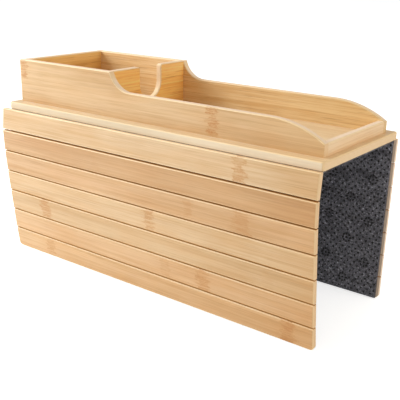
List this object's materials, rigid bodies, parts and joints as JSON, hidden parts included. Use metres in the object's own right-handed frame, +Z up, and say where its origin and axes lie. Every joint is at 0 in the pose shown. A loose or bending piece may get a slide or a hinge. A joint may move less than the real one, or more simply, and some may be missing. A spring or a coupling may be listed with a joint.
{
  "type": "sofa arm tray",
  "caption": "Bamboo tray for a sofa arm: a mug bay with a handle slot, an open bay with scooped side walls, and slatted felt-backed flaps that hang down both sides of the arm.",
  "frame": {"origin": "centre of the underside of the felt below the board, where the tray lies on the sofa arm", "axes": "+X along the arm, from the mug bay to the open lip; +Y from the near flap to the far flap; +Z up"},
  "size_m": [0.407, 0.1654, 0.226],
  "materials": {
    "bamboo": "satin clear lacquer",
    "felt": "needled felt with raised rubber dots",
    "steel_screw": "plain zinc"
  },
  "bodies": {
    "tray": {"base_board": "bamboo", "near_side_wall": "bamboo", "far_side_wall": "bamboo", "end_wall": "bamboo", "divider": "bamboo", "front_lip": "bamboo", "base_screws": "steel_screw", "board_felt": "felt"},
    "near_flap_1": {"near_slat_1": "bamboo", "near_felt_1": "felt"},
    "near_flap_2": {"near_slat_2": "bamboo", "near_felt_2": "felt"},
    "near_flap_3": {"near_slat_3": "bamboo", "near_felt_3": "felt"},
    "near_flap_4": {"near_slat_4": "bamboo", "near_felt_4": "felt"},
    "near_flap_5": {"near_slat_5": "bamboo", "near_felt_5": "felt"},
    "near_flap_6": {"near_slat_6": "bamboo", "near_felt_6": "felt"},
    "near_flap_7": {"near_slat_7": "bamboo", "near_felt_7": "felt"},
    "far_flap_1": {"far_slat_1": "bamboo", "far_felt_1": "felt"},
    "far_flap_2": {"far_slat_2": "bamboo", "far_felt_2": "felt"},
    "far_flap_3": {"far_slat_3": "bamboo", "far_felt_3": "felt"},
    "far_flap_4": {"far_slat_4": "bamboo", "far_felt_4": "felt"},
    "far_flap_5": {"far_slat_5": "bamboo", "far_felt_5": "felt"},
    "far_flap_6": {"far_slat_6": "bamboo", "far_felt_6": "felt"},
    "far_flap_7": {"far_slat_7": "bamboo", "far_felt_7": "felt"}
  },
  "joints": [
    {"name": "near_flap_lift", "type": "hinge", "parent": "tray", "child": "near_flap_1", "pos_m": [0, -0.0767, 0.003], "axis": [-1, 0, 0], "range_deg": [-31, 84]},
    {"name": "near_fold_2", "type": "hinge", "parent": "near_flap_1", "child": "near_flap_2", "pos_m": [0, -0.07926, -0.02137], "axis": [1, 0, 0], "range_deg": [-8.3, 36.7]},
    {"name": "near_fold_3", "type": "hinge", "parent": "near_flap_2", "child": "near_flap_3", "pos_m": [0, -0.07828, -0.04585], "axis": [1, 0, 0], "range_deg": [-2.8, 42.2]},
    {"name": "near_fold_4", "type": "hinge", "parent": "near_flap_3", "child": "near_flap_4", "pos_m": [0, -0.0761, -0.07025], "axis": [1, 0, 0], "range_deg": [-0.7, 44.3]},
    {"name": "near_fold_5", "type": "hinge", "parent": "near_flap_4", "child": "near_flap_5", "pos_m": [0, -0.07362, -0.09462], "axis": [1, 0, 0], "range_deg": [-0.4, 44.6]},
    {"name": "near_fold_6", "type": "hinge", "parent": "near_flap_5", "child": "near_flap_6", "pos_m": [0, -0.07098, -0.11898], "axis": [1, 0, 0], "range_deg": [-0.1, 44.9]},
    {"name": "near_fold_7", "type": "hinge", "parent": "near_flap_6", "child": "near_flap_7", "pos_m": [0, -0.06829, -0.14333], "axis": [1, 0, 0], "range_deg": [-1.4, 43.6]},
    {"name": "far_flap_lift", "type": "hinge", "parent": "tray", "child": "far_flap_1", "pos_m": [0, 0.0767, 0.003], "axis": [1, 0, 0], "range_deg": [-23, 92]},
    {"name": "far_fold_2", "type": "hinge", "parent": "far_flap_1", "child": "far_flap_2", "pos_m": [0, 0.07584, -0.02149], "axis": [-1, 0, 0], "range_deg": [0, 45]},
    {"name": "far_fold_3", "type": "hinge", "parent": "far_flap_2", "child": "far_flap_3", "pos_m": [0, 0.07499, -0.04597], "axis": [-1, 0, 0], "range_deg": [0, 45]},
    {"name": "far_fold_4", "type": "hinge", "parent": "far_flap_3", "child": "far_flap_4", "pos_m": [0, 0.07414, -0.07046], "axis": [-1, 0, 0], "range_deg": [0, 45]},
    {"name": "far_fold_5", "type": "hinge", "parent": "far_flap_4", "child": "far_flap_5", "pos_m": [0, 0.07328, -0.09494], "axis": [-1, 0, 0], "range_deg": [0, 45]},
    {"name": "far_fold_6", "type": "hinge", "parent": "far_flap_5", "child": "far_flap_6", "pos_m": [0, 0.07243, -0.11943], "axis": [-1, 0, 0], "range_deg": [0, 45]},
    {"name": "far_fold_7", "type": "hinge", "parent": "far_flap_6", "child": "far_flap_7", "pos_m": [0, 0.07157, -0.14391], "axis": [-1, 0, 0], "range_deg": [0, 45]}
  ]
}
